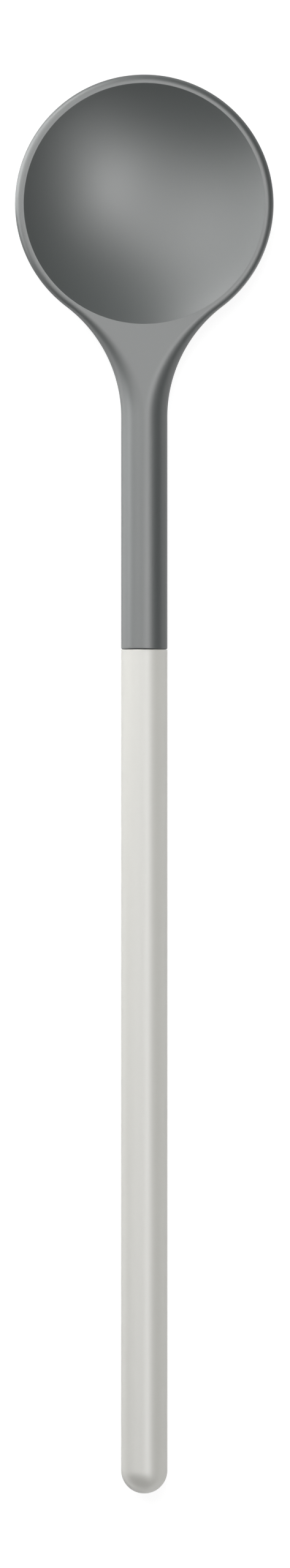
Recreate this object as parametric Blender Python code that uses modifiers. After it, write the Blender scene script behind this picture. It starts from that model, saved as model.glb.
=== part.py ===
"""Serving ladle, modelled in metres with +Z up.

A shallow round bowl, its flat deck, its flare and its round neck are one dark nylon moulding, the head.
A pale round grip carries on the line of the neck, and a steel core rod set in both holds the joint.
The ladle lies level with its bowl to +Y, and its origin is on the table under the middle of its length.
"""

import math

import bmesh
import bpy

MM = 0.001

# Whole ladle
OVERALL_LENGTH = 310.0 * MM  # bowl tip to grip end
HEAD_LENGTH = 125.5 * MM  # bowl tip to the joint between neck and grip
BAR_DIAMETER = 10.1 * MM  # neck and grip together are one round bar

# Bowl, deck and flare
BOWL_DIAMETER = 56.4 * MM  # over the rim
BOWL_DEPTH = 8.0 * MM  # rim plane to the inside of the floor
FLOOR_THICKNESS = 2.1 * MM
RIM_ROUND = 1.58 * MM  # radius of the rim's rounded outer edge
RIM_LAND = 0.32 * MM  # flat ring between that edge and the mouth
FLARE_RADIUS = 30.1 * MM  # concave sweep from the rim into the neck
HULL_BLEND = 9.0 * MM  # how softly the belly runs into the neck underneath
FLARE_EASE = 1.3  # how late the flare's edge grows into the round of the neck

# Core rod and the joint
ROD_DIAMETER = 5.0 * MM
ROD_SETBACK = 6.0 * MM  # the rod stops this far short of the flare
ROD_COVER = 24.0 * MM  # solid grip left beyond the rod's end
ROD_CHAMFER = 0.5 * MM
KEY_GROOVES = 4  # grooves at each end of the rod, which key it into the plastic
KEY_START = 5.0 * MM  # rod end to the first groove
KEY_PITCH = 4.0 * MM
KEY_WIDTH = 1.4 * MM
KEY_DEPTH = 0.4 * MM
BOND_GAP = 0.2 * MM  # bonding film round the rod
JOINT_GAP = 0.2 * MM  # between neck and grip at the joint line
JOINT_EDGE = 0.35 * MM  # broken edges either side of the joint line

# Facets
BOWL_RIBS = 36
FLARE_RIBS = 14
EDGE_STEPS = 6
BELLY_STEPS = 8
CUP_STEPS = 14
CUP_TURN = 80
BAR_TURN = 48
ROD_TURN = 32
DOME_STEPS = 12
BROKEN_EDGE_STEPS = 3
SHARP_ANGLE = math.radians(35)  # steeper edges than this stay crisp
QUARTER = math.pi / 2
MERGE = 0.00001

# Sizes that follow from those above, about the bowl's centre on the rim plane
BOWL_R = BOWL_DIAMETER / 2
BAR_R = BAR_DIAMETER / 2
MOUTH_R = BOWL_R - RIM_ROUND - RIM_LAND
CUP_R = (MOUTH_R**2 + BOWL_DEPTH**2) / (2 * BOWL_DEPTH)
BELLY_DEPTH = BOWL_DEPTH + FLOOR_THICKNESS
RIM_SPAN = BOWL_R - RIM_ROUND
RIM_DROP = BELLY_DEPTH - RIM_ROUND
BELLY_R = (RIM_SPAN**2 + RIM_DROP**2 - RIM_ROUND**2) / (2 * (RIM_DROP - RIM_ROUND))
FLARE_X = BAR_R + FLARE_RADIUS
FLARE_Y = -math.sqrt((BOWL_R + FLARE_RADIUS) ** 2 - FLARE_X**2)
FLARE_ANGLE = math.atan2(-FLARE_Y, FLARE_X)
TANGENT_Y = -BOWL_R * math.sin(FLARE_ANGLE)
JOINT_Y = BOWL_R - HEAD_LENGTH
GRIP_LENGTH = OVERALL_LENGTH - HEAD_LENGTH - JOINT_GAP
ROD_IN_NECK = FLARE_Y - JOINT_Y - ROD_SETBACK
ROD_IN_GRIP = GRIP_LENGTH - ROD_COVER
ROD_LENGTH = ROD_IN_NECK + JOINT_GAP + ROD_IN_GRIP
BORE_DIAMETER = ROD_DIAMETER + 2 * BOND_GAP
BOWL_CENTRE_Y = OVERALL_LENGTH / 2 - BOWL_R
RIM_HEIGHT = max(BAR_DIAMETER, BELLY_DEPTH)


def clear_scene():
    for obj in list(bpy.data.objects):
        bpy.data.objects.remove(obj)


def new_collection(name):
    collection = bpy.data.collections.new(name)
    bpy.context.scene.collection.children.link(collection)
    return collection


def plastic_or_metal(name, colour, roughness, metallic=0.0):
    material = bpy.data.materials.new(name)
    material.use_nodes = True
    surface = material.node_tree.nodes["Principled BSDF"]
    surface.inputs["Base Color"].default_value = (*colour, 1.0)
    surface.inputs["Roughness"].default_value = roughness
    surface.inputs["Metallic"].default_value = metallic
    return material


def add_object(name, mesh, collection, frame, material=None):
    obj = bpy.data.objects.new(name, mesh)
    collection.objects.link(obj)
    obj.parent = frame
    if material:
        mesh.materials.append(material)
    return obj


def add_cutter(name, mesh, collection, frame):
    cutter = add_object(name, mesh, collection, frame)
    cutter.hide_render = True
    cutter.display_type = "WIRE"
    return cutter


def cut(obj, cutter):
    boolean = obj.modifiers.new(cutter.name, "BOOLEAN")
    boolean.operation = "DIFFERENCE"
    boolean.object = cutter


def smooth(obj):
    obj.data.shade_smooth()
    obj.data.set_sharp_from_angle(angle=SHARP_ANGLE)


def profile_mesh(name, points):
    """Open chain of (radius, height) points, to be turned about local Z."""
    mesh = bpy.data.meshes.new(name)
    edges = [(i, i + 1) for i in range(len(points) - 1)]
    mesh.from_pydata([(radius, 0.0, height) for radius, height in points], edges, [])
    return mesh


def turn(obj, steps):
    screw = obj.modifiers.new("Turn", "SCREW")
    screw.steps = steps
    screw.render_steps = steps
    screw.use_merge_vertices = True
    screw.merge_threshold = MERGE
    screw.use_smooth_shade = True


def arc(centre, radius, start, end, steps):
    """Points of an arc in a turning profile, its angles measured from the outward direction."""
    angles = [start + (end - start) * i / steps for i in range(steps + 1)]
    return [(centre[0] + radius * math.cos(a), centre[1] + radius * math.sin(a)) for a in angles]


def ease(value):
    value = min(max(value, 0.0), 1.0)
    return value * value * (3 - 2 * value)


def smooth_max(first, second, width):
    overlap = max(width - abs(first - second), 0.0)
    return max(first, second) + overlap * overlap / (4 * max(width, MERGE))


def edge_round(y):
    """Radius of the outline's edge: the rim's round on the bowl, growing along the flare to the whole bar."""
    run = min(max((TANGENT_Y - y) / (TANGENT_Y - FLARE_Y), 0.0), 1.0)
    return RIM_ROUND + (BAR_R - RIM_ROUND) * math.sin(run * QUARTER) ** FLARE_EASE


def hull_depth(x, y):
    """Depth of the underside inboard of its edges: the belly's sphere run into the thickness of the neck."""
    belly = math.sqrt(max(BELLY_R**2 - x**2 - y**2, 0.0)) - (BELLY_R - BELLY_DEPTH)
    lead_in = ease(y / TANGENT_Y)
    return smooth_max(belly, 2 * edge_round(y) * lead_in, HULL_BLEND * lead_in)


def edge_rise(inset, radius):
    """Share of a rounded edge's height gained at an inset from its foot."""
    return math.sqrt(1 - (1 - min(inset / radius, 1.0)) ** 2)


def under_round(x, y):
    """Radius of the lower edge, which takes the thickness that the upper edge leaves."""
    edge = edge_round(y)
    return max(edge, hull_depth(x, y) - edge)


def skin_point(foot, inward, inset, upper):
    """Point of the head's upper or lower skin, inset from the outline's foot along its rib."""
    x = max(foot[0] + inward[0] * inset, 0.0)
    y = foot[1] + inward[1] * inset
    edge = edge_round(y)
    if upper:
        return (x, y, edge * (edge_rise(inset, edge) - 1))
    rise = edge_rise(inset, under_round(x, y))
    return (x, y, -edge - (hull_depth(x, y) - edge) * rise)


def rounded_insets(radius):
    return [radius * (1 - math.cos(QUARTER * i / EDGE_STEPS)) for i in range(EDGE_STEPS + 1)]


def rib(foot, inward, run):
    """Points of the skin in one rib: from the spine over the top, round the edge and back underneath."""
    edge = edge_round(foot[1])
    lower = min(under_round(foot[0] + inward[0] * edge, foot[1] + inward[1] * edge), run)
    inboard = [lower + (run - lower) * i / BELLY_STEPS for i in range(1, BELLY_STEPS + 1)]
    over = [skin_point(foot, inward, inset, True) for inset in [run, *reversed(rounded_insets(edge))]]
    under = [skin_point(foot, inward, inset, False) for inset in [*rounded_insets(lower)[1:], *inboard]]
    return over + under


def bowl_rib(angle):
    across, along = math.cos(angle), math.sin(angle)
    return rib((BOWL_R * across, BOWL_R * along), (-across, -along), BOWL_R)


def flare_rib(angle):
    across, along = math.cos(angle), math.sin(angle)
    foot = (FLARE_X - FLARE_RADIUS * across, FLARE_Y + FLARE_RADIUS * along)
    return rib(foot, (-across, along), FLARE_X / across - FLARE_RADIUS)


def neck_rib(y, radius):
    """Round rib of the neck, drawn in to a smaller radius at the broken edge."""
    scale = radius / BAR_R
    points = rib((BAR_R, y), (-1.0, 0.0), BAR_R)
    return [(x * scale, y, (z + BAR_R) * scale - BAR_R) for x, y, z in points]


def head_mesh():
    """Half of the head, right of its middle plane, as a loft of ribs set square to its outline."""
    sweep = QUARTER + FLARE_ANGLE
    ribs = [bowl_rib(QUARTER - sweep * i / BOWL_RIBS) for i in range(BOWL_RIBS)]
    ribs += [flare_rib(FLARE_ANGLE * (1 - i / FLARE_RIBS)) for i in range(FLARE_RIBS)]
    ribs += [neck_rib(FLARE_Y, BAR_R), neck_rib(JOINT_Y + JOINT_EDGE, BAR_R)]
    ribs.append(neck_rib(JOINT_Y, BAR_R - JOINT_EDGE))
    shape = bmesh.new()
    rows = [[shape.verts.new(point) for point in points] for points in ribs]
    for row, after in zip(rows, rows[1:]):
        for i in range(len(row) - 1):
            shape.faces.new((row[i], after[i], after[i + 1], row[i + 1]))
    shape.faces.new(list(reversed(rows[-1])))
    bmesh.ops.remove_doubles(shape, verts=shape.verts, dist=MERGE)
    mesh = bpy.data.meshes.new("head")
    shape.to_mesh(mesh)
    shape.free()
    return mesh


def cup_cutter_mesh():
    """Profile of the ball that hollows the bowl, run on past the rim plane and closed above it."""
    centre_height = CUP_R - BOWL_DEPTH
    past_rim = math.asin((RIM_ROUND - centre_height) / CUP_R)
    curve = arc((0.0, centre_height), CUP_R, past_rim, -QUARTER, CUP_STEPS)
    return profile_mesh("cup_cutter", [(0.0, curve[0][1]), *curve[:-1], (0.0, -BOWL_DEPTH)])


def bore_cutter_mesh():
    """Plug that bores the neck from the joint face, reaching a bonding gap past the rod's end."""
    mesh = bpy.data.meshes.new("bore_cutter")
    shape = bmesh.new()
    bmesh.ops.create_cone(
        shape,
        cap_ends=True,
        segments=ROD_TURN,
        radius1=BORE_DIAMETER / 2,
        radius2=BORE_DIAMETER / 2,
        depth=2 * (ROD_IN_NECK + BOND_GAP),
    )
    shape.to_mesh(mesh)
    shape.free()
    return mesh


def handle_mesh():
    """Profile of the grip: up the bore, over the broken edge at the joint and down to the half-round end."""
    bore_r = BORE_DIAMETER / 2
    bore_floor = ROD_COVER - BOND_GAP
    edge_centre = (BAR_R - JOINT_EDGE, GRIP_LENGTH - JOINT_EDGE)
    joint_edge = arc(edge_centre, JOINT_EDGE, QUARTER, 0.0, BROKEN_EDGE_STEPS)
    dome = arc((0.0, BAR_R), BAR_R, 0.0, -QUARTER, DOME_STEPS)
    bore = [(0.0, bore_floor), (bore_r, bore_floor), (bore_r, GRIP_LENGTH)]
    return profile_mesh("handle", [*bore, *joint_edge, *dome[:-1], (0.0, 0.0)])


def core_rod_mesh():
    """Profile of the rod, with chamfered ends and a run of key grooves near each end."""
    radius = ROD_DIAMETER / 2
    starts = [KEY_START + i * KEY_PITCH for i in range(KEY_GROOVES)]
    lower_half = [(0.0, 0.0), (radius - ROD_CHAMFER, 0.0), (radius, ROD_CHAMFER)]
    for start in starts:
        inner, end = radius - KEY_DEPTH, start + KEY_WIDTH
        lower_half += [(radius, start), (inner, start + KEY_DEPTH), (inner, end - KEY_DEPTH), (radius, end)]
    upper_half = [(r, ROD_LENGTH - height) for r, height in lower_half]
    return profile_mesh("core_rod", upper_half + lower_half[::-1])


def add_head(parts, cutters, frame):
    nylon = plastic_or_metal("dark_nylon", (0.085, 0.088, 0.088), 0.38)
    head = add_object("head", head_mesh(), parts, frame, nylon)
    head.location = (0.0, BOWL_CENTRE_Y, RIM_HEIGHT)
    mirror = head.modifiers.new("Mirror", "MIRROR")
    mirror.merge_threshold = MERGE
    cup = add_cutter("cup_cutter", cup_cutter_mesh(), cutters, frame)
    cup.location = head.location
    turn(cup, CUP_TURN)
    bore = add_cutter("bore_cutter", bore_cutter_mesh(), cutters, frame)
    bore.location = (0.0, BOWL_CENTRE_Y + JOINT_Y, RIM_HEIGHT - BAR_R)
    bore.rotation_euler = (-QUARTER, 0.0, 0.0)
    cut(head, cup)
    cut(head, bore)
    smooth(head)


def add_on_bar_axis(name, mesh, parts, frame, material, foot_y, steps):
    """Piece turned about the bar's axis, standing on foot_y and running towards the bowl."""
    piece = add_object(name, mesh, parts, frame, material)
    piece.location = (0.0, foot_y, RIM_HEIGHT - BAR_R)
    piece.rotation_euler = (-QUARTER, 0.0, 0.0)
    turn(piece, steps)


def build_ladle():
    clear_scene()
    parts = new_collection("ladle")
    cutters = new_collection("ladle_cutters")
    frame = bpy.data.objects.new("ladle_frame", None)
    parts.objects.link(frame)
    add_head(parts, cutters, frame)
    grip_end = -OVERALL_LENGTH / 2
    pale = plastic_or_metal("pale_grip_plastic", (0.56, 0.55, 0.52), 0.4)
    add_on_bar_axis("handle", handle_mesh(), parts, frame, pale, grip_end, BAR_TURN)
    steel = plastic_or_metal("core_steel", (0.6, 0.6, 0.6), 0.3, metallic=1.0)
    add_on_bar_axis("core_rod", core_rod_mesh(), parts, frame, steel, grip_end + ROD_COVER, ROD_TURN)


build_ladle()
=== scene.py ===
"""Looks of the serving ladle: its moulded head, turned grip and keyed core rod, on a white studio floor.

Laid out as an add-on and run as a script. Sizes are in metres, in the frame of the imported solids: +Y runs
along the bar towards the bowl's tip, +Z up out of the bowl, and the table is at zero.
"""

import math
from typing import NamedTuple

import bmesh
import bpy
from bpy.props import FloatProperty, FloatVectorProperty, IntProperty, PointerProperty
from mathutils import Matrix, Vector


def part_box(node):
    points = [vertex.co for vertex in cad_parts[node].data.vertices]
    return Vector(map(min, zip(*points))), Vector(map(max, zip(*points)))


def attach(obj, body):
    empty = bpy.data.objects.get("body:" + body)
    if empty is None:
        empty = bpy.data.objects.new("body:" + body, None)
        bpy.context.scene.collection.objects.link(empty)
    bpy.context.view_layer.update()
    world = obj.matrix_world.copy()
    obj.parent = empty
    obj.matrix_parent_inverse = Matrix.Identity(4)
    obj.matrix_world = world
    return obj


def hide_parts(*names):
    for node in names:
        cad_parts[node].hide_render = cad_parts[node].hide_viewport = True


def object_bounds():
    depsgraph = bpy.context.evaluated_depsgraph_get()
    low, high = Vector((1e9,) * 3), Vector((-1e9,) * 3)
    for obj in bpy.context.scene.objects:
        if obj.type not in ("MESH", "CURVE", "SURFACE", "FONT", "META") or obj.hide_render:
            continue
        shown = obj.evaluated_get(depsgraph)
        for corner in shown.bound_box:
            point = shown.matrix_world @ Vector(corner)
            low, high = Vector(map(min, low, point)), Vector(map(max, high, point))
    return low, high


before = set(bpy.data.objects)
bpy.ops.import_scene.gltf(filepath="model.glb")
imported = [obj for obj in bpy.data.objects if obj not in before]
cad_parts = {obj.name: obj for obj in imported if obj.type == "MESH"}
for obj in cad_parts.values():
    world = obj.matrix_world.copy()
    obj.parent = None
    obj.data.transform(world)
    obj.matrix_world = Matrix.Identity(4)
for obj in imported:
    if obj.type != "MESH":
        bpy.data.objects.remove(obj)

bl_info = {
    "name": "Serving Ladle",
    "version": (1, 0, 0),
    "blender": (4, 5, 0),
    "location": "View3D > Sidebar > Ladle",
    "description": "Dresses the ladle's packed solids with its moulded head, turned grip and keyed core rod",
    "category": "Object",
}

MM = 0.001
QUARTER = math.pi / 2
WELD = 2e-6  # points closer than this are one point
SUPPORT = 0.04 * MM  # a loop this near a broken edge keeps the flat beside it flat
SHARP_ANGLE = math.radians(40)
BODY = "root"
NODE_STEP = (200, -240)  # between neighbours in a node tree
NODES_PER_ROW = 8
NOISE_MIDDLE = 0.5

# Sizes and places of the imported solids
CAD_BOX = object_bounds()
HEAD_LOW, HEAD_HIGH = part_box("head")
GRIP_LOW, GRIP_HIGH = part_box("handle")
ROD_LOW, ROD_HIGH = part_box("core_rod")
RIM_HEIGHT = HEAD_HIGH.z
BAR_RADIUS = GRIP_HIGH.x
BAR_AXIS_HEIGHT = (GRIP_LOW.z + GRIP_HIGH.z) / 2
ROD_RADIUS = ROD_HIGH.x
BOWL_DIAMETER = round(HEAD_HIGH.x - HEAD_LOW.x, 4)

# Facets
BOWL_RIBS = 170
DECK_RIBS = 44  # ribs of the flare that end on the mouth
FLARE_RIBS = 44  # ribs of the flare that end on the spine
NECK_RIBS = 14
DECK_STEPS = 5
EDGE_STEPS = 14
BELLY_STEPS = 26
MOUTH_STEPS = 6
CUP_STEPS = 44
BROKEN_EDGE_STEPS = 6
DOME_STEPS = 28
BARREL_STEPS = 60

# The photograph's frame, and where the ladle lies in it
FRAME_PX = (473, 2560)
BOWL_CENTRE_PX = (235.3, 332.0)
LADLE_LENGTH_PX = 2319.3


def length(name, description, default):
    return FloatProperty(name=name, description=description, default=default, unit="LENGTH", precision=5)


def colour(name, description, default):
    return FloatVectorProperty(
        name=name, description=description, default=default, subtype="COLOR", size=3, min=0.0, max=1.0
    )


def share(name, description, default):
    return FloatProperty(
        name=name, description=description, default=default, subtype="FACTOR", min=0.0, max=1.0
    )


def brightness(name, description, default):
    return FloatProperty(name=name, description=description, default=default, min=0.0)


class LadleHeadSettings(bpy.types.PropertyGroup):
    """Sizes and finish of the moulded head."""

    bowl_diameter: length("Bowl diameter", "Width of the bowl over its rim", BOWL_DIAMETER)
    bowl_depth: length("Bowl depth", "Rim plane to the inside of the floor", 8.0 * MM)
    floor_thickness: length("Floor thickness", "Plastic under the middle of the bowl", 2.1 * MM)
    rim_round: length("Rim round", "Radius of the rim's rounded outer edge", 1.58 * MM)
    rim_land: length("Rim land", "Flat ring between that edge and the mouth", 0.32 * MM)
    mouth_round: length("Mouth round", "Radius that breaks the mouth's inner edge", 0.2 * MM)
    flare_radius: length("Flare radius", "Concave sweep from the rim into the neck", 30.1 * MM)
    hull_blend: length("Hull blend", "How softly the belly runs into the neck underneath", 9.0 * MM)
    flare_ease: FloatProperty(
        name="Flare ease",
        description="How late the flare's edge grows into the round of the neck",
        default=1.3,
    )
    joint_edge: length("Joint edge", "Round that breaks the edge at the joint line", 0.35 * MM)
    bond_gap: length("Bond gap", "Bonding film round the core rod", 0.2 * MM)
    nylon: colour("Nylon", "Colour of the dark nylon", (0.0722, 0.0797, 0.0786))
    roughness: share("Roughness", "How satin the nylon is", 0.45)


class LadleGripSettings(bpy.types.PropertyGroup):
    """Sizes and finish of the turned grip."""

    joint_edge: length("Joint edge", "Round that breaks the edge at the joint line", 0.1 * MM)
    joint_film: length("Joint film", "Pale bonding film that closes the joint up to the neck", 0.15 * MM)
    bond_gap: length("Bond gap", "Bonding film round the core rod", 0.2 * MM)
    steps: IntProperty(name="Turn steps", description="Facets round the grip", default=160, min=16)
    plastic: colour("Grip plastic", "Colour of the pale plastic", (0.677, 0.67, 0.629))
    roughness: share("Roughness", "How satin the grip is", 0.45)


class LadleRodSettings(bpy.types.PropertyGroup):
    """Sizes and finish of the steel core rod."""

    chamfer: length("Chamfer", "Chamfer at each end", 0.5 * MM)
    key_grooves: IntProperty(name="Key grooves", description="Grooves at each end", default=4, min=1)
    key_start: length("Key start", "Rod end to the first groove", 5.0 * MM)
    key_pitch: length("Key pitch", "One groove to the next", 4.0 * MM)
    key_width: length("Key width", "Width of a groove at the rod's surface", 1.4 * MM)
    key_depth: length("Key depth", "Depth of a groove", 0.4 * MM)
    steps: IntProperty(name="Turn steps", description="Facets round the rod", default=64, min=16)
    steel: colour("Steel", "Colour of the drawn steel", (0.56, 0.56, 0.57))
    roughness: share("Roughness", "How dull the steel is", 0.32)


class LadleStageSettings(bpy.types.PropertyGroup):
    """White floor, lamps, panels, cards and the camera."""

    lens: FloatProperty(name="Lens", description="Focal length in millimetres", default=300.0, min=20.0)
    sensor: FloatProperty(name="Sensor", description="Long side of the sensor in millimetres", default=36.0)
    floor_size: length("Floor size", "Side of the square floor", 12.0)
    floor_white: share("Floor white", "White that the camera and the gloss see before lamplight", 0.87)
    ambient: share("Ambient", "Light from all round", 0.08)
    key: brightness("Key", "Soft lamp over the bowl", 2.15)
    fill: brightness("Fill", "Wide lamp to the lower right", 4.82)
    edge: brightness("Edge", "Low lamp at the upper left", 12.5)
    top: brightness("Top", "Wide lamp high above the bowl's tip", 3.77)
    right_card: brightness("Right card", "Pale card right of the bar", 0.84)
    left_card: brightness("Left card", "Bright card left of the bar, seen in the gloss", 3.08)
    foot_card: brightness("Foot card", "Bright card past the grip's end, seen in the gloss", 1.92)
    neck_card: brightness("Neck card", "Bright card standing left of the neck, seen in the gloss", 8.46)
    rim_card: brightness("Rim card", "Bright cards left of the bowl, seen in the gloss", 4.5)
    side_wall: brightness("Side wall", "Tall panels to the left, seen in the gloss", 4.42)
    canopy: brightness("Canopy", "Wide overhead panel, seen in the gloss", 3.54)
    strip: brightness("Strip", "Overhead panel to the right, seen in the gloss", 15.8)


class Lamp(NamedTuple):
    """Rectangular lamp. Of the kinds, a far panel and a close card show only in the gloss."""

    setting: str
    place: tuple
    aim: tuple
    width: float
    height: float
    kind: str


LIGHT, PANEL, CARD = "light", "panel", "card"
OVERHEAD = 3.0
CARD_LIFT = 0.5 * MM


def hung(setting, x, y, width, height, kind):
    """Lamp high above the table that faces down."""
    return Lamp(setting, (x, y, OVERHEAD), (x, y, 0.0), width, height, kind)


def lying(setting, x, y, width, height, kind):
    """Lamp on the table that faces up."""
    return Lamp(setting, (x, y, CARD_LIFT), (x, y, 1.0), width, height, kind)


LAMPS = (
    Lamp("key", (-0.166, 0.286, 0.552), (0.0, 0.12, 0.0), 0.5, 0.5, LIGHT),
    Lamp("fill", (1.5, -1.5, 2.121), (0.0, 0.0, 0.0), 1.2, 1.2, LIGHT),
    Lamp("edge", (-0.394, 0.742, 0.139), (0.0, 0.06, 0.0), 0.4, 0.25, LIGHT),
    hung("top", 0.0, 1.2, 1.2, 1.2, LIGHT),
    lying("right_card", 0.085, -0.05, 0.13, 0.34, LIGHT),
    lying("left_card", -0.036, -0.067, 0.048, 0.306, CARD),
    lying("foot_card", 0.0, -0.184, 0.1, 0.042, CARD),
    Lamp("neck_card", (-0.25, 0.12, 0.04), (0.0, 0.04, 0.04), 0.24, 0.08, CARD),
    Lamp("rim_card", (-0.06, 0.155, 0.013), (0.0, 0.127, 0.013), 0.06, 0.026, CARD),
    lying("rim_card", -0.085, 0.17, 0.1, 0.09, CARD),
    Lamp("side_wall", (-1.299, 2.25, 1.5), (0.0, 0.0, 0.0), 1.5, 3.4, PANEL),
    Lamp("side_wall", (-2.25, 1.299, 1.5), (0.0, 0.0, 0.0), 1.5, 3.4, PANEL),
    Lamp("side_wall", (-2.598, 0.0, 1.5), (0.0, 0.0, 0.0), 1.5, 3.4, PANEL),
    hung("canopy", 0.0, 0.0, 4.5, 2.7, PANEL),
    hung("strip", 0.9, -0.45, 0.9, 1.8, PANEL),
)


def blend_between(start, end, steps):
    return [start + (end - start) * i / steps for i in range(steps + 1)]


def ease(value):
    value = min(max(value, 0.0), 1.0)
    return value * value * (3 - 2 * value)


def smooth_max(first, second, width):
    overlap = max(width - abs(first - second), 0.0)
    return max(first, second) + overlap * overlap / (4 * max(width, WELD))


def edge_rise(inset, radius):
    """Share of a rounded edge's height gained at an inset from its foot."""
    return math.sqrt(1 - (1 - min(inset / radius, 1.0)) ** 2)


def rounded_insets(radius):
    return [radius * (1 - math.cos(angle)) for angle in blend_between(0.0, QUARTER, EDGE_STEPS)]


class HeadForm:
    """Skin of the head right of its middle plane, about the bowl's centre on the rim plane, grip to -Y."""

    def __init__(self, size):
        self.size = size
        self.bowl_r = size.bowl_diameter / 2
        self.centre = Vector((0.0, HEAD_HIGH.y - self.bowl_r, RIM_HEIGHT))
        self.joint_y = HEAD_LOW.y - self.centre.y
        mouth_r = self.bowl_r - size.rim_round - size.rim_land
        self.cup_r = (mouth_r**2 + size.bowl_depth**2) / (2 * size.bowl_depth)
        self.cup_height = self.cup_r - size.bowl_depth
        self.belly_depth = size.bowl_depth + size.floor_thickness
        span = self.bowl_r - size.rim_round
        drop = self.belly_depth - size.rim_round
        self.belly_r = (span**2 + drop**2 - size.rim_round**2) / (2 * (drop - size.rim_round))
        self.flare_x = BAR_RADIUS + size.flare_radius
        self.flare_y = -math.sqrt((self.bowl_r + size.flare_radius) ** 2 - self.flare_x**2)
        self.flare_angle = math.atan2(-self.flare_y, self.flare_x)
        self.tangent_y = -self.bowl_r * math.sin(self.flare_angle)
        lip_height = self.cup_height + size.mouth_round
        self.lip_r = math.sqrt((self.cup_r + size.mouth_round) ** 2 - lip_height**2)
        self.lip_angle = math.atan2(self.lip_r, lip_height)
        self.ring_r = self.lip_r + SUPPORT

    def edge_round(self, y):
        """Radius of the outline's edge: the rim's round, growing along the flare to the whole bar."""
        run = min(max((self.tangent_y - y) / (self.tangent_y - self.flare_y), 0.0), 1.0)
        growth = math.sin(run * QUARTER) ** self.size.flare_ease
        return self.size.rim_round + (BAR_RADIUS - self.size.rim_round) * growth

    def hull_depth(self, x, y):
        """Depth of the underside inboard of its edges: the belly's ball, run into the neck."""
        belly = math.sqrt(max(self.belly_r**2 - x**2 - y**2, 0.0)) - (self.belly_r - self.belly_depth)
        lead_in = ease(y / self.tangent_y)
        return smooth_max(belly, 2 * self.edge_round(y) * lead_in, self.size.hull_blend * lead_in)

    def under_round(self, x, y):
        """Radius of the lower edge, which takes the thickness that the upper edge leaves."""
        edge = self.edge_round(y)
        return max(edge, self.hull_depth(x, y) - edge)

    def skin_point(self, foot, inward, inset, upper):
        x = max(foot[0] + inward[0] * inset, 0.0)
        y = foot[1] + inward[1] * inset
        edge = self.edge_round(y)
        if upper:
            return (x, y, edge * (edge_rise(inset, edge) - 1))
        rise = edge_rise(inset, self.under_round(x, y))
        return (x, y, -edge - (self.hull_depth(x, y) - edge) * rise)

    def rib(self, foot, inward, run, reach):
        """Points of one rib: from reach over the flat, round the edge, then underneath to the whole run."""
        edge = self.edge_round(foot[1])
        lower = min(self.under_round(foot[0] + inward[0] * edge, foot[1] + inward[1] * edge), run)
        over = blend_between(reach, edge, DECK_STEPS)[:-1] + rounded_insets(edge)[::-1]
        under = rounded_insets(lower)[1:] + blend_between(lower, run, BELLY_STEPS)[1:]
        points = [self.skin_point(foot, inward, inset, True) for inset in over]
        return points + [self.skin_point(foot, inward, inset, False) for inset in under]

    def bowl_rib(self, angle):
        across, along = math.cos(angle), math.sin(angle)
        foot = (self.bowl_r * across, self.bowl_r * along)
        return self.rib(foot, (-across, -along), self.bowl_r, self.bowl_r - self.ring_r)

    def flare_rib(self, angle):
        """Rib square to the flare's sweep, cut short on top where it meets the ring round the mouth."""
        across, along = math.cos(angle), math.sin(angle)
        radius = self.size.flare_radius
        foot = Vector((self.flare_x - radius * across, self.flare_y + radius * along))
        inward = Vector((-across, along))
        run = self.flare_x / across - radius
        return self.rib(foot, inward, run, min(run, self.ring_inset(foot, inward, run)))

    def ring_inset(self, foot, inward, run):
        half = -foot.dot(inward)
        inside = half * half - foot.length_squared + self.ring_r**2
        return half - math.sqrt(inside) if inside > 0 else run

    def neck_rib(self, y, radius):
        """Round rib of the neck, drawn in about the bar's axis to a smaller radius."""
        scale = radius / BAR_RADIUS
        points = self.rib((BAR_RADIUS, y), (-1.0, 0.0), BAR_RADIUS, BAR_RADIUS)
        return [(x * scale, y, (z + BAR_RADIUS) * scale - BAR_RADIUS) for x, y, z in points]

    def mouth_angle(self):
        """Flare angle whose rib ends where the ring round the mouth crosses the spine."""
        return math.atan2(-self.flare_y - self.ring_r, self.flare_x)

    def deck_ribs(self):
        """Ribs that end on the ring round the mouth: the whole rim, then the upper flare."""
        rim = [self.bowl_rib(a) for a in blend_between(QUARTER, -self.flare_angle, BOWL_RIBS)]
        flare = blend_between(self.flare_angle, self.mouth_angle(), DECK_RIBS)[1:]
        return rim + [self.flare_rib(a) for a in flare]

    def bar_ribs(self):
        """Ribs that end on the spine: the lower flare, the neck, its broken edge, and the rod's bore."""
        edge = self.size.joint_edge
        bore_r = ROD_RADIUS + self.size.bond_gap
        bore_y = ROD_HIGH.y + self.size.bond_gap - self.centre.y
        shoulder_y = self.joint_y + edge
        flare = blend_between(self.mouth_angle(), 0.0, FLARE_RIBS)
        ribs = [self.flare_rib(a) for a in flare[1:-1]]
        for y in blend_between(self.flare_y, shoulder_y + SUPPORT, NECK_RIBS):
            ribs.append(self.neck_rib(y, BAR_RADIUS))
        for angle in blend_between(0.0, QUARTER, BROKEN_EDGE_STEPS):
            y = shoulder_y - edge * math.sin(angle)
            ribs.append(self.neck_rib(y, BAR_RADIUS - edge * (1 - math.cos(angle))))
        ribs += [self.neck_rib(self.joint_y, bore_r), self.neck_rib(bore_y, bore_r)]
        return ribs + [self.neck_rib(bore_y, 0.0)]

    def dish_profile(self):
        """(radius, height) from the ring round the mouth, over its edge and down to the bowl's middle."""
        edge = self.size.mouth_round
        points = [(self.ring_r, 0.0)]
        for lean in blend_between(0.0, self.lip_angle, MOUTH_STEPS):
            points.append((self.lip_r - edge * math.sin(lean), edge * (math.cos(lean) - 1)))
        for lean in blend_between(self.lip_angle, 0.0, CUP_STEPS)[1:]:
            points.append((self.cup_r * math.sin(lean), self.cup_height - self.cup_r * math.cos(lean)))
        return points

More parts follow.
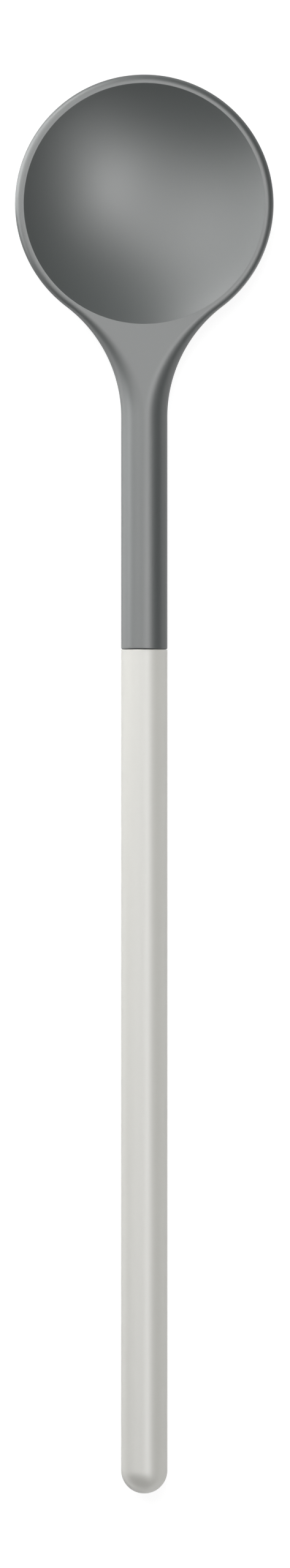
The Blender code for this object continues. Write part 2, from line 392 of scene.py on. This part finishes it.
    def dish_ribs(self, deck_ribs):
        """Ribs of the bowl's inside, one from the inner end of each rib of the rim and deck."""
        profile = self.dish_profile()
        ribs = []
        for x, y, _ in (rib[0] for rib in deck_ribs):
            across, along = Vector((x, y)).normalized()
            ribs.append([(radius * across, radius * along, height) for radius, height in profile])
        return ribs


def add_strip(shape, ribs):
    """Faces between neighbouring ribs, which have as many points each."""
    rows = [[shape.verts.new(point) for point in rib] for rib in ribs]
    for row, after in zip(rows, rows[1:]):
        for i in range(len(row) - 1):
            shape.faces.new((row[i], after[i], after[i + 1], row[i + 1]))


def head_mesh(size):
    """Right half of the head as lofts of ribs, welded to its mirror image and set on the bar's line."""
    form = HeadForm(size)
    deck = form.deck_ribs()
    shape = bmesh.new()
    add_strip(shape, form.dish_ribs(deck))
    add_strip(shape, deck + form.bar_ribs())
    bmesh.ops.remove_doubles(shape, verts=shape.verts, dist=WELD)
    half = shape.verts[:] + shape.edges[:] + shape.faces[:]
    bmesh.ops.mirror(shape, geom=half, axis="X", merge_dist=WELD)
    bmesh.ops.translate(shape, verts=shape.verts, vec=form.centre)
    mesh = bpy.data.meshes.new("head")
    shape.to_mesh(mesh)
    shape.free()
    return mesh


def add_piece(name, mesh, node):
    """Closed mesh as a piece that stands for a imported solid, smooth but for its crisp edges."""
    shape = bmesh.new()
    shape.from_mesh(mesh)
    bmesh.ops.remove_doubles(shape, verts=shape.verts, dist=WELD)
    bmesh.ops.recalc_face_normals(shape, faces=shape.faces)
    if not all(edge.is_manifold for edge in shape.edges):
        raise RuntimeError(f"{name} isn't closed")
    shape.to_mesh(mesh)
    shape.free()
    mesh.shade_smooth()
    mesh.set_sharp_from_angle(angle=SHARP_ANGLE)
    piece = bpy.data.objects.new(name, mesh)
    bpy.context.scene.collection.objects.link(piece)
    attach(piece, BODY)
    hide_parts(node)
    return piece


def add_node(tree, kind, inputs=None, **settings):
    """Adds a node with its own settings, and sets or links each input by name or number."""
    made = tree.nodes.new(kind)
    row, column = divmod(len(tree.nodes), NODES_PER_ROW)
    made.location = (NODE_STEP[0] * column, NODE_STEP[1] * row)
    for name, value in settings.items():
        setattr(made, name, value)
    for name, value in (inputs or {}).items():
        if isinstance(value, bpy.types.NodeSocket):
            tree.links.new(value, made.inputs[name])
        else:
            made.inputs[name].default_value = value
    return made


def add_group(name, kind, inputs, outputs):
    """Node group with named sockets, with the sockets of its input node and of its output node."""
    tree = bpy.data.node_groups.new(name, kind)
    for label, socket_type in inputs.items():
        tree.interface.new_socket(label, in_out="INPUT", socket_type="NodeSocket" + socket_type)
    for label, socket_type in outputs.items():
        tree.interface.new_socket(label, in_out="OUTPUT", socket_type="NodeSocket" + socket_type)
    return tree, tree.nodes.new("NodeGroupInput").outputs, tree.nodes.new("NodeGroupOutput").inputs


def maths(tree, operation, first, second):
    return add_node(tree, "ShaderNodeMath", {0: first, 1: second}, operation=operation).outputs[0]


def profile_point(tree, radius, along):
    return add_node(tree, "ShaderNodeCombineXYZ", {"X": radius, "Y": along}).outputs[0]


def moved(tree, geometry, place):
    shifted = add_node(tree, "GeometryNodeTransform", {"Geometry": geometry, "Translation": place})
    return shifted.outputs[0]


def profile_lines(tree, points):
    """Straight runs of a turning profile through (radius, along) points."""
    ends = [profile_point(tree, *point) for point in points]
    for start, end in zip(ends, ends[1:]):
        yield add_node(tree, "GeometryNodeCurvePrimitiveLine", {"Start": start, "End": end}).outputs[0]


def profile_arc(tree, centre, radius, start, steps):
    """Quarter circle of a turning profile, its start measured from the outward direction."""
    sizes = {"Resolution": steps + 1, "Radius": radius, "Start Angle": start, "Sweep Angle": QUARTER}
    arc = add_node(tree, "GeometryNodeCurveArc", sizes, mode="RADIUS")
    return moved(tree, arc.outputs["Curve"], profile_point(tree, *centre))


def joined(tree, parts):
    node = tree.nodes.new("GeometryNodeJoinGeometry")
    for part in parts:
        tree.links.new(part, node.inputs[0])
    return node.outputs[0]


def turning_group():
    """Geometry group that turns a profile about the bar: X is the radius, Y the way along the bar."""
    tree, given, result = add_group(
        "Turned about the bar",
        "GeometryNodeTree",
        {"Profile": "Geometry", "Steps": "Int", "Hub": "Float", "Foot": "Vector", "Material": "Material"},
        {"Mesh": "Geometry"},
    )
    sizes = {"Resolution": given["Steps"], "Radius": given["Hub"]}
    circle = add_node(tree, "GeometryNodeCurvePrimitiveCircle", sizes, mode="RADIUS").outputs["Curve"]
    upright = add_node(tree, "GeometryNodeSetCurveNormal", {"Curve": circle}, mode="Z_UP").outputs[0]
    to_hub = profile_point(tree, maths(tree, "MULTIPLY", given["Hub"], -1.0), 0.0)
    profile = moved(tree, given["Profile"], to_hub)
    rails = {"Curve": upright, "Profile Curve": profile}
    swept = add_node(tree, "GeometryNodeCurveToMesh", rails).outputs[0]
    welded = add_node(tree, "GeometryNodeMergeByDistance", {"Geometry": swept, "Distance": WELD}).outputs[0]
    laid = add_node(tree, "GeometryNodeTransform", {"Geometry": welded, "Translation": given["Foot"]})
    laid.inputs["Rotation"].default_value = (QUARTER, 0.0, 0.0)
    whole = add_node(tree, "GeometryNodeRealizeInstances", {"Geometry": laid.outputs[0]}).outputs[0]
    painted = {"Geometry": whole, "Material": given["Material"]}
    tree.links.new(add_node(tree, "GeometryNodeSetMaterial", painted).outputs[0], result["Mesh"])
    return tree


def turned_tree(name, sizes, profile_of):
    """Geometry tree with named sizes, whose profile is drawn by profile_of and turned about the bar."""
    shared = {"Steps": "Int", "Foot": "Vector", "Material": "Material"}
    tree, given, result = add_group(
        name, "GeometryNodeTree", {**sizes, **shared}, {"Mesh": "Geometry"}
    )
    group = bpy.data.node_groups.get("Turned about the bar") or turning_group()
    inputs = {label: given[label] for label in shared}
    inputs["Profile"] = joined(tree, profile_of(tree, given))
    inputs["Hub"] = given["Radius"]
    turned = add_node(tree, "GeometryNodeGroup", inputs, node_tree=group)
    tree.links.new(turned.outputs["Mesh"], result["Mesh"])
    return tree


def grip_profile(tree, given):
    """Half-round end, barrel, broken edge, joint face and blind bore."""
    radius, end, edge, bore = (given[name] for name in ("Radius", "Length", "Joint Edge", "Bore Radius"))
    shoulder = maths(tree, "SUBTRACT", end, edge)
    support = maths(tree, "SUBTRACT", shoulder, SUPPORT)
    bore_floor = maths(tree, "SUBTRACT", end, given["Bore Depth"])
    barrel = profile_lines(tree, [(radius, radius), (radius, support)])
    resampled = {"Curve": next(barrel), "Count": BARREL_STEPS}
    edge_centre = (maths(tree, "SUBTRACT", radius, edge), shoulder)
    yield profile_arc(tree, (0.0, radius), radius, -QUARTER, DOME_STEPS)
    yield add_node(tree, "GeometryNodeResampleCurve", resampled, mode="COUNT").outputs[0]
    yield from profile_lines(tree, [(radius, support), (radius, shoulder)])
    yield profile_arc(tree, edge_centre, edge, 0.0, BROKEN_EDGE_STEPS)
    blind_bore = [(edge_centre[0], end), (bore, end), (bore, bore_floor), (0.0, bore_floor)]
    yield from profile_lines(tree, blind_bore)


def rod_profile(tree, given):
    """Chamfered end with key grooves, its mirror image at the other end, and the shank between."""
    names = ("Radius", "Length", "Chamfer", "Key Start", "Key Pitch", "Key Width", "Key Depth")
    radius, end, chamfer, start, pitch, width, depth = (given[name] for name in names)
    inner = maths(tree, "SUBTRACT", radius, depth)
    rise = maths(tree, "SUBTRACT", width, depth)
    key = [(radius, 0.0), (inner, depth), (inner, rise), (radius, width), (radius, pitch)]
    keys = {
        "Points": add_node(
            tree,
            "GeometryNodeMeshLine",
            {
                "Count": given["Key Grooves"],
                "Start Location": profile_point(tree, 0.0, start),
                "Offset": profile_point(tree, 0.0, pitch),
            },
            mode="OFFSET",
        ).outputs[0],
        "Instance": joined(tree, profile_lines(tree, key)),
    }
    run = add_node(tree, "GeometryNodeInstanceOnPoints", keys).outputs[0]
    tip = [(0.0, 0.0), (maths(tree, "SUBTRACT", radius, chamfer), 0.0), (radius, chamfer), (radius, start)]
    near = joined(tree, [run, *profile_lines(tree, tip)])
    near = add_node(tree, "GeometryNodeRealizeInstances", {"Geometry": near}).outputs[0]
    far = add_node(tree, "GeometryNodeTransform", {"Geometry": near, "Scale": (1.0, -1.0, 1.0)})
    tree.links.new(profile_point(tree, 0.0, end), far.inputs["Translation"])
    keyed = maths(tree, "ADD", start, maths(tree, "MULTIPLY", pitch, given["Key Grooves"]))
    yield near
    yield far.outputs[0]
    yield from profile_lines(tree, [(radius, keyed), (radius, maths(tree, "SUBTRACT", end, keyed))])


def grown_mesh(name, tree, values):
    """Plain mesh of what a geometry tree makes from named values."""
    host = bpy.data.objects.new(name, bpy.data.meshes.new(name))
    bpy.context.scene.collection.objects.link(host)
    modifier = host.modifiers.new(tree.name, "NODES")
    modifier.node_group = tree
    for item in tree.interface.items_tree:
        if item.in_out == "INPUT":
            modifier[item.identifier] = values[item.name]
    evaluated = host.evaluated_get(bpy.context.evaluated_depsgraph_get())
    mesh = bpy.data.meshes.new_from_object(evaluated)
    bpy.data.objects.remove(host)
    return mesh


def swinging_noise(tree, inputs):
    """Noise that swings either way from nought."""
    return maths(tree, "SUBTRACT", add_node(tree, "ShaderNodeTexNoise", inputs).outputs[0], NOISE_MIDDLE)


def moulded_skin_group():
    """Shader group of moulded plastic: a slow drift of tone, a fine grain, and gloss that follows both."""
    tree, given, result = add_group(
        "Moulded skin",
        "ShaderNodeTree",
        {"Vector": "Vector", "Colour": "Color", "Drift": "Float", "Drift Scale": "Float",
         "Grain Scale": "Float", "Roughness": "Float", "Gloss Spread": "Float"},
        {"Colour": "Color", "Roughness": "Float", "Height": "Float"},
    )
    slow = {"Vector": given["Vector"], "Scale": given["Drift Scale"], "Detail": 3.0}
    fine = {"Vector": given["Vector"], "Scale": given["Grain Scale"], "Detail": 2.0}
    drift = swinging_noise(tree, slow)
    grain = swinging_noise(tree, fine)
    tone = maths(tree, "ADD", 1.0, maths(tree, "MULTIPLY", drift, given["Drift"]))
    tinted = {"Vector": given["Colour"], "Scale": tone}
    shade = add_node(tree, "ShaderNodeVectorMath", tinted, operation="SCALE").outputs[0]
    swing = maths(tree, "MULTIPLY", maths(tree, "ADD", drift, grain), given["Gloss Spread"])
    tree.links.new(shade, result["Colour"])
    tree.links.new(maths(tree, "ADD", given["Roughness"], swing), result["Roughness"])
    tree.links.new(grain, result["Height"])
    return tree


def new_material(name):
    material = bpy.data.materials.new(name)
    material.use_nodes = True
    tree = material.node_tree
    return material, tree, tree.nodes["Principled BSDF"]


def moulded_plastic(name, tint, roughness, drift_scale, grain_scale):
    """Satin plastic, its tone and gloss drifting slowly under a fine moulded grain."""
    material, tree, surface = new_material(name)
    group = bpy.data.node_groups.get("Moulded skin") or moulded_skin_group()
    skin = add_node(
        tree,
        "ShaderNodeGroup",
        {
            "Vector": add_node(tree, "ShaderNodeTexCoord").outputs["Object"],
            "Colour": (*tint, 1.0),
            "Drift": 0.06,
            "Drift Scale": drift_scale,
            "Grain Scale": grain_scale,
            "Roughness": roughness,
            "Gloss Spread": 0.05,
        },
        node_tree=group,
    ).outputs
    grain = {"Strength": 0.25, "Distance": 0.01 * MM, "Height": skin["Height"]}
    tree.links.new(add_node(tree, "ShaderNodeBump", grain).outputs[0], surface.inputs["Normal"])
    tree.links.new(skin["Colour"], surface.inputs["Base Color"])
    tree.links.new(skin["Roughness"], surface.inputs["Roughness"])
    surface.inputs["IOR"].default_value = 1.5
    return material


def drawn_steel(tint, roughness):
    """Bright steel with the long streaks of a drawing die along the rod."""
    material, tree, surface = new_material("drawn_steel")
    place = add_node(tree, "ShaderNodeTexCoord").outputs["Object"]
    tone_share, gloss_share = 0.3, 0.2
    stretched = add_node(tree, "ShaderNodeMapping", {"Vector": place, "Scale": (1.0, 0.02, 1.0)}).outputs[0]
    swing = swinging_noise(tree, {"Vector": stretched, "Scale": 4000.0, "Detail": 4.0})
    tone = maths(tree, "ADD", 1.0, maths(tree, "MULTIPLY", swing, tone_share))
    shade = add_node(tree, "ShaderNodeVectorMath", {"Vector": tint, "Scale": tone}, operation="SCALE")
    tree.links.new(shade.outputs[0], surface.inputs["Base Color"])
    dulled = maths(tree, "ADD", roughness, maths(tree, "MULTIPLY", swing, gloss_share))
    tree.links.new(dulled, surface.inputs["Roughness"])
    surface.inputs["Metallic"].default_value = 1.0
    return material


def seen_directly(tree):
    """One for rays from the camera, a reflection or glass, and nought for rays that carry light."""
    path = add_node(tree, "ShaderNodeLightPath").outputs
    reflected = maths(tree, "MAXIMUM", path["Is Glossy Ray"], path["Is Transmission Ray"])
    return maths(tree, "MAXIMUM", path["Is Camera Ray"], reflected)


def studio_paper(white):
    """White paper that shows as white with a faint shadow, and throws back the light of pale card."""
    material, tree, surface = new_material("studio_paper")
    seen = seen_directly(tree)
    bounced, shown = 0.8, 0.3
    tone = maths(tree, "SUBTRACT", bounced, maths(tree, "MULTIPLY", seen, bounced - shown))
    tree.links.new(tone, surface.inputs["Base Color"])
    tree.links.new(maths(tree, "MULTIPLY", seen, white), surface.inputs["Emission Strength"])
    surface.inputs["Emission Color"].default_value = (1.0, 1.0, 1.0, 1.0)
    surface.inputs["Roughness"].default_value = 1.0
    surface.inputs["Specular IOR Level"].default_value = 0.0
    material.cycles.emission_sampling = "NONE"
    return material


def light_world(ambient):
    """White behind everything for the camera, and an even light of the ambient strength for the rest."""
    world = bpy.data.worlds.new("studio")
    world.use_nodes = True
    tree = world.node_tree
    path = add_node(tree, "ShaderNodeLightPath").outputs
    seen = maths(tree, "MAXIMUM", path["Is Camera Ray"], path["Is Transmission Ray"])
    lift = maths(tree, "MULTIPLY", seen, 1.0 - ambient)
    background = tree.nodes["Background"]
    background.inputs["Color"].default_value = (1.0, 1.0, 1.0, 1.0)
    tree.links.new(maths(tree, "ADD", ambient, lift), background.inputs["Strength"])
    bpy.context.scene.world = world


def add_lamp(lamp, radiance):
    """Rectangular lamp whose face is radiance times as bright as white."""
    data = bpy.data.lights.new(lamp.setting, "AREA")
    data.shape = "RECTANGLE"
    data.size, data.size_y = lamp.width, lamp.height
    data.energy = radiance * math.pi * lamp.width * lamp.height
    obj = bpy.data.objects.new(lamp.setting, data)
    bpy.context.scene.collection.objects.link(obj)
    obj.location = lamp.place
    facing = Vector(lamp.aim) - Vector(lamp.place)
    obj.rotation_euler = facing.to_track_quat("-Z", "Y").to_euler()
    obj.visible_camera = False
    obj.visible_diffuse = lamp.kind == LIGHT
    # Sampled from its own side alone, a far panel can't leak into the colour
    data.cycles.use_multiple_importance_sampling = lamp.kind != PANEL


def add_floor(size, white):
    bpy.ops.mesh.primitive_plane_add(size=size)
    floor = bpy.context.object
    floor.name = "studio_floor"
    floor.data.materials.append(studio_paper(white))


def add_camera(lens, sensor):
    """Camera straight above the ladle, framed as in the photograph, with the bowl's tip at the top."""
    metres_per_px = (CAD_BOX[1].y - CAD_BOX[0].y) / LADLE_LENGTH_PX
    bowl_centre_y = HEAD_HIGH.y - BOWL_DIAMETER / 2
    data = bpy.data.cameras.new("camera")
    data.lens = lens
    data.sensor_width = sensor
    camera = bpy.data.objects.new("camera", data)
    bpy.context.scene.collection.objects.link(camera)
    x = (FRAME_PX[0] / 2 - BOWL_CENTRE_PX[0]) * metres_per_px
    y = bowl_centre_y + (BOWL_CENTRE_PX[1] - FRAME_PX[1] / 2) * metres_per_px
    camera.location = (x, y, RIM_HEIGHT + FRAME_PX[1] * metres_per_px * lens / sensor)
    bpy.context.scene.camera = camera


class LADLE_OT_head(bpy.types.Operator):
    """Add the moulded head: bowl, rim, deck, flare and neck in dark nylon"""

    bl_idname = "ladle.head"
    bl_label = "Head"

    def execute(self, context):
        size = context.scene.ladle_head
        head = add_piece("moulded_head", head_mesh(size), "head")
        nylon = moulded_plastic(
            "dark_nylon", size.nylon, size.roughness, drift_scale=45.0, grain_scale=2600.0
        )
        head.data.materials.append(nylon)
        return {"FINISHED"}


class LADLE_OT_grip(bpy.types.Operator):
    """Add the pale grip, turned about the bar with a half-round end"""

    bl_idname = "ladle.grip"
    bl_label = "Grip"

    def execute(self, context):
        size = context.scene.ladle_grip
        joint_y = GRIP_HIGH.y + size.joint_film
        names = ("Radius", "Length", "Joint Edge", "Bore Radius", "Bore Depth")
        tree = turned_tree("Turned grip", dict.fromkeys(names, "Float"), grip_profile)
        plastic = moulded_plastic(
            "pale_grip", size.plastic, size.roughness, drift_scale=35.0, grain_scale=3000.0
        )
        values = {
            "Radius": BAR_RADIUS,
            "Length": joint_y - GRIP_LOW.y,
            "Joint Edge": size.joint_edge,
            "Bore Radius": ROD_RADIUS + size.bond_gap,
            "Bore Depth": joint_y - ROD_LOW.y + size.bond_gap,
            "Steps": size.steps,
            "Foot": (0.0, GRIP_LOW.y, BAR_AXIS_HEIGHT),
            "Material": plastic,
        }
        add_piece("turned_grip", grown_mesh("turned_grip", tree, values), "handle")
        return {"FINISHED"}


class LADLE_OT_rod(bpy.types.Operator):
    """Add the steel core rod with its key grooves, inside neck and grip"""

    bl_idname = "ladle.rod"
    bl_label = "Core rod"

    def execute(self, context):
        size = context.scene.ladle_rod
        names = ("Radius", "Length", "Chamfer", "Key Start", "Key Pitch", "Key Width", "Key Depth")
        sizes = {**dict.fromkeys(names, "Float"), "Key Grooves": "Int"}
        tree = turned_tree("Keyed rod", sizes, rod_profile)
        values = {
            "Radius": ROD_RADIUS,
            "Length": ROD_HIGH.y - ROD_LOW.y,
            "Chamfer": size.chamfer,
            "Key Start": size.key_start,
            "Key Pitch": size.key_pitch,
            "Key Width": size.key_width,
            "Key Depth": size.key_depth,
            "Key Grooves": size.key_grooves,
            "Steps": size.steps,
            "Foot": (0.0, ROD_LOW.y, BAR_AXIS_HEIGHT),
            "Material": drawn_steel(size.steel, size.roughness),
        }
        add_piece("keyed_rod", grown_mesh("keyed_rod", tree, values), "core_rod")
        return {"FINISHED"}


class LADLE_OT_stage(bpy.types.Operator):
    """Add the white floor, the lamps and the camera"""

    bl_idname = "ladle.stage"
    bl_label = "Stage"

    def execute(self, context):
        stage = context.scene.ladle_stage
        add_floor(stage.floor_size, stage.floor_white)
        light_world(stage.ambient)
        for lamp in LAMPS:
            add_lamp(lamp, getattr(stage, lamp.setting))
        add_camera(stage.lens, stage.sensor)
        context.scene.view_settings.view_transform = "Standard"
        return {"FINISHED"}


SETTINGS = {
    "ladle_head": LadleHeadSettings,
    "ladle_grip": LadleGripSettings,
    "ladle_rod": LadleRodSettings,
    "ladle_stage": LadleStageSettings,
}
OPERATORS = {
    "ladle_head": LADLE_OT_head,
    "ladle_grip": LADLE_OT_grip,
    "ladle_rod": LADLE_OT_rod,
    "ladle_stage": LADLE_OT_stage,
}


class LADLE_PT_sidebar(bpy.types.Panel):
    """Lists the ladle's pieces with their sizes and finishes"""

    bl_idname = "LADLE_PT_sidebar"
    bl_label = "Serving Ladle"
    bl_space_type = "VIEW_3D"
    bl_region_type = "UI"
    bl_category = "Ladle"

    def draw(self, context):
        for name, operator in OPERATORS.items():
            box = self.layout.box()
            box.operator(operator.bl_idname)
            for setting in SETTINGS[name].__annotations__:
                box.prop(getattr(context.scene, name), setting)


CLASSES = (*SETTINGS.values(), *OPERATORS.values(), LADLE_PT_sidebar)


def register():
    for cls in CLASSES:
        bpy.utils.register_class(cls)
    for name, settings in SETTINGS.items():
        setattr(bpy.types.Scene, name, PointerProperty(type=settings))


def unregister():
    for name in SETTINGS:
        delattr(bpy.types.Scene, name)
    for cls in reversed(CLASSES):
        bpy.utils.unregister_class(cls)


def main():
    register()
    bpy.ops.ladle.head()
    bpy.ops.ladle.grip()
    bpy.ops.ladle.rod()
    bpy.ops.ladle.stage()


if __name__ == "__main__":
    main()
